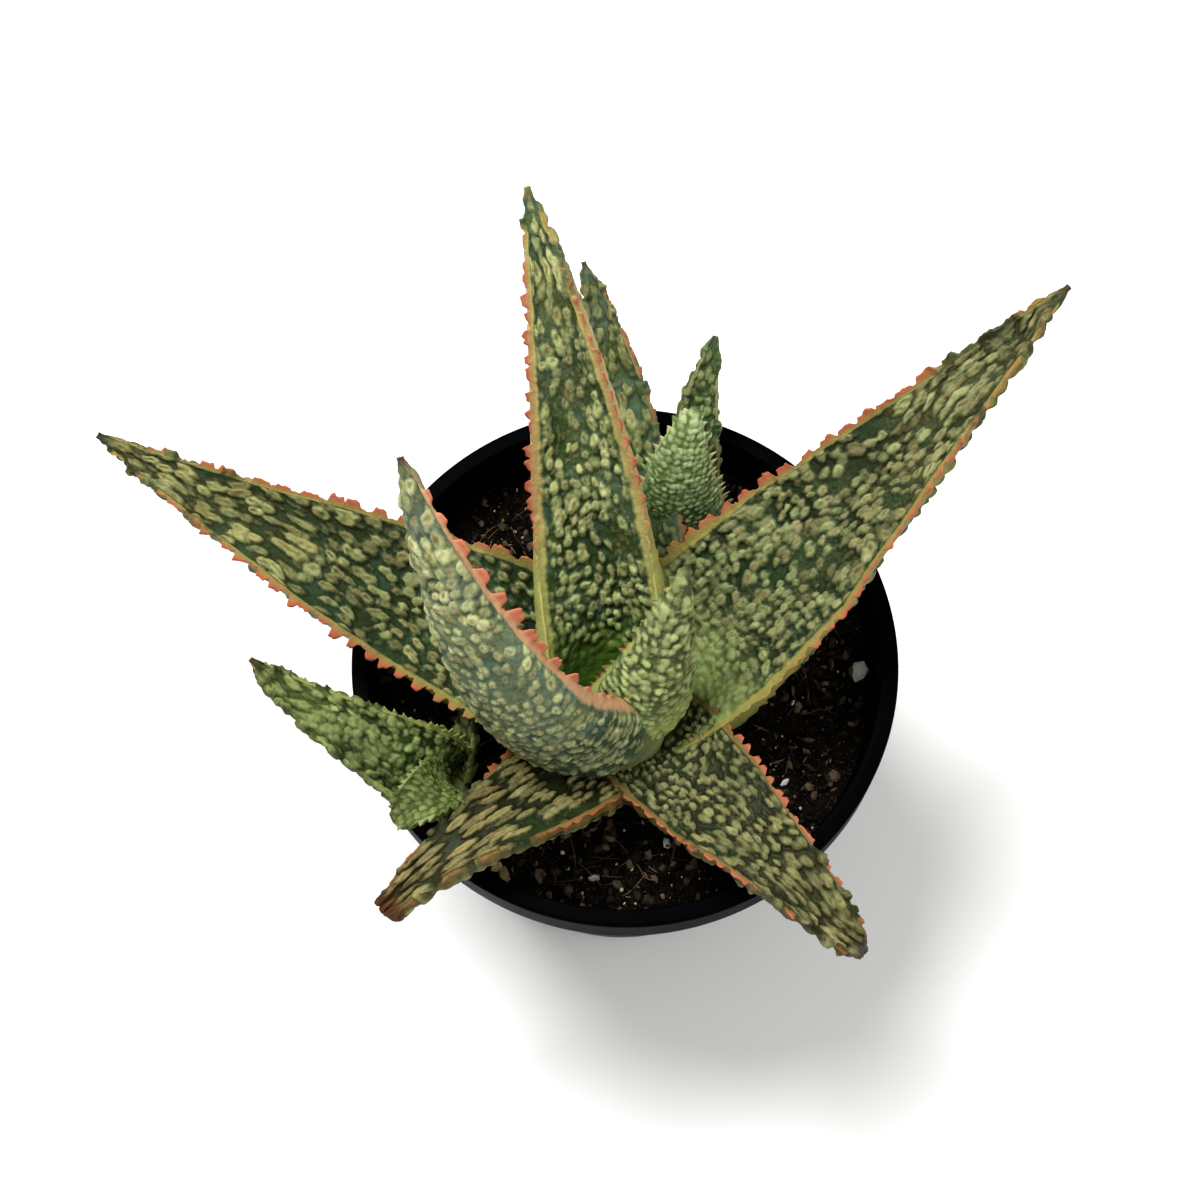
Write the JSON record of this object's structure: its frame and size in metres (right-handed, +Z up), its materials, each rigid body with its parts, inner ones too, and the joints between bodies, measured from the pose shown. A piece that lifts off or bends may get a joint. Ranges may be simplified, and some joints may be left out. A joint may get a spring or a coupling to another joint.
{
  "type": "potted dragon aloe",
  "caption": "Young spotted succulent with thick, bumpy, toothed leaves in one main rosette and two small offsets, standing in soil in a round tapered nursery pot.",
  "frame": {"origin": "middle of the flat underside of the pot", "axes": "+Z up along the pot's axis, -Y towards the viewer of the low front leaves, +X towards the largest leaf on the right"},
  "size_m": [0.1707, 0.1334, 0.1624],
  "materials": {
    "pot_plastic": "satin",
    "soil": "matte",
    "stem": "satin",
    "leaf": "satin",
    "leaf_dry": "satin",
    "leaf_young": "satin"
  },
  "bodies": {
    "root": {"pot": "pot_plastic", "soil": "soil", "stem_main": "stem", "stem_back_offset": "stem", "stem_left_offset": "stem", "leaf_heart": "leaf", "leaf_front_upright": "leaf", "leaf_back_upright": "leaf", "leaf_right": "leaf", "leaf_left": "leaf", "leaf_front_right": "leaf", "leaf_front_left": "leaf_dry", "leaf_back_low": "leaf", "back_offset_leaf_front": "leaf_young", "back_offset_leaf_rear": "leaf_young", "left_offset_leaf_outer": "leaf_young", "left_offset_leaf_front": "leaf_young", "left_offset_leaf_small": "leaf_young"}
  },
  "joints": []
}
